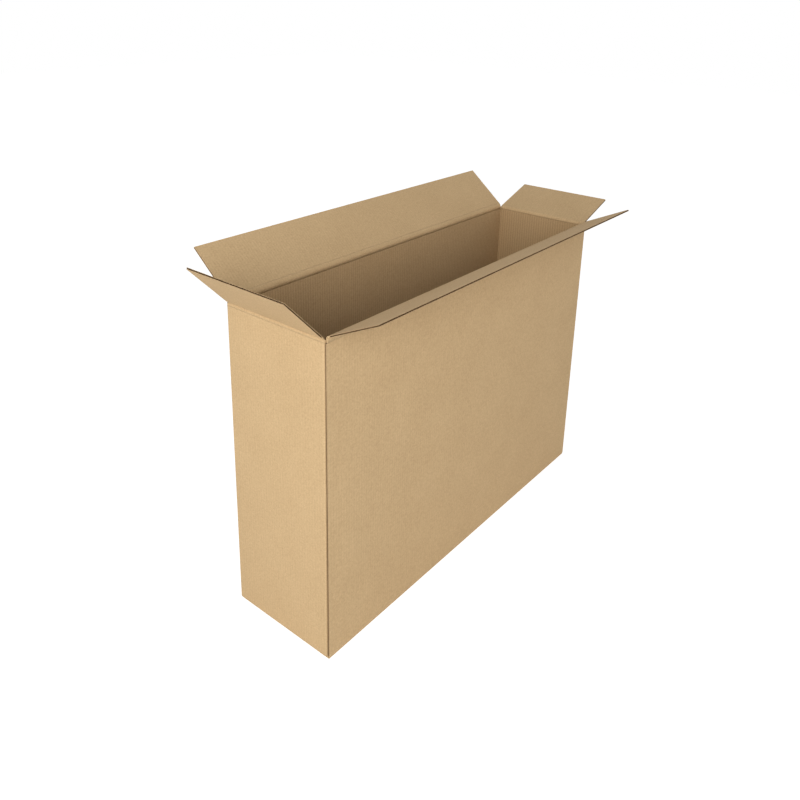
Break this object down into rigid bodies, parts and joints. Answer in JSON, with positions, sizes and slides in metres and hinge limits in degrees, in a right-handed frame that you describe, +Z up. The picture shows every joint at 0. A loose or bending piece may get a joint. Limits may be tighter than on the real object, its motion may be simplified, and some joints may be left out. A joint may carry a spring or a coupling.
{
  "type": "corrugated box",
  "caption": "Tall, narrow slotted carton of single-wall corrugated board with a closed bottom and four open top flaps on score-line hinges.",
  "frame": {"origin": "on the floor, under the middle of the box that encloses the carton with its four top flaps leaning out as in the picture", "axes": "+X along the long panels towards the right end, +Y from the front panel to the back panel, +Z up"},
  "size_m": [1.3158, 0.5296, 0.8748],
  "materials": {
    "kraft_board": "uncoated kraft liner, matt, faintly washboarded by the flutes",
    "kraft_flap": "uncoated kraft liner, matt, with open flutes at the cut edges"
  },
  "bodies": {
    "carton": {"carton_body": "kraft_board"},
    "front_flap": {"top_flap_front": "kraft_flap"},
    "back_flap": {"top_flap_back": "kraft_flap"},
    "left_flap": {"top_flap_left": "kraft_flap"},
    "right_flap": {"top_flap_right": "kraft_flap"}
  },
  "joints": [
    {"name": "front_flap_fold", "type": "hinge", "parent": "carton", "child": "front_flap", "pos_m": [-0.01759, -0.13472, 0.775], "axis": [1, 0, 0], "range_deg": [-154.4, 85.6]},
    {"name": "back_flap_fold", "type": "hinge", "parent": "carton", "child": "back_flap", "pos_m": [-0.01759, 0.15328, 0.775], "axis": [-1, 0, 0], "range_deg": [-140.3, 99.7]},
    {"name": "left_flap_fold", "type": "hinge", "parent": "carton", "child": "left_flap", "pos_m": [-0.55659, 0.00928, 0.7707], "axis": [0, -1, 0], "range_deg": [-134.2, 105.8]},
    {"name": "right_flap_fold", "type": "hinge", "parent": "carton", "child": "right_flap", "pos_m": [0.52141, 0.00928, 0.7707], "axis": [0, 1, 0], "range_deg": [-161.5, 78.5]}
  ]
}
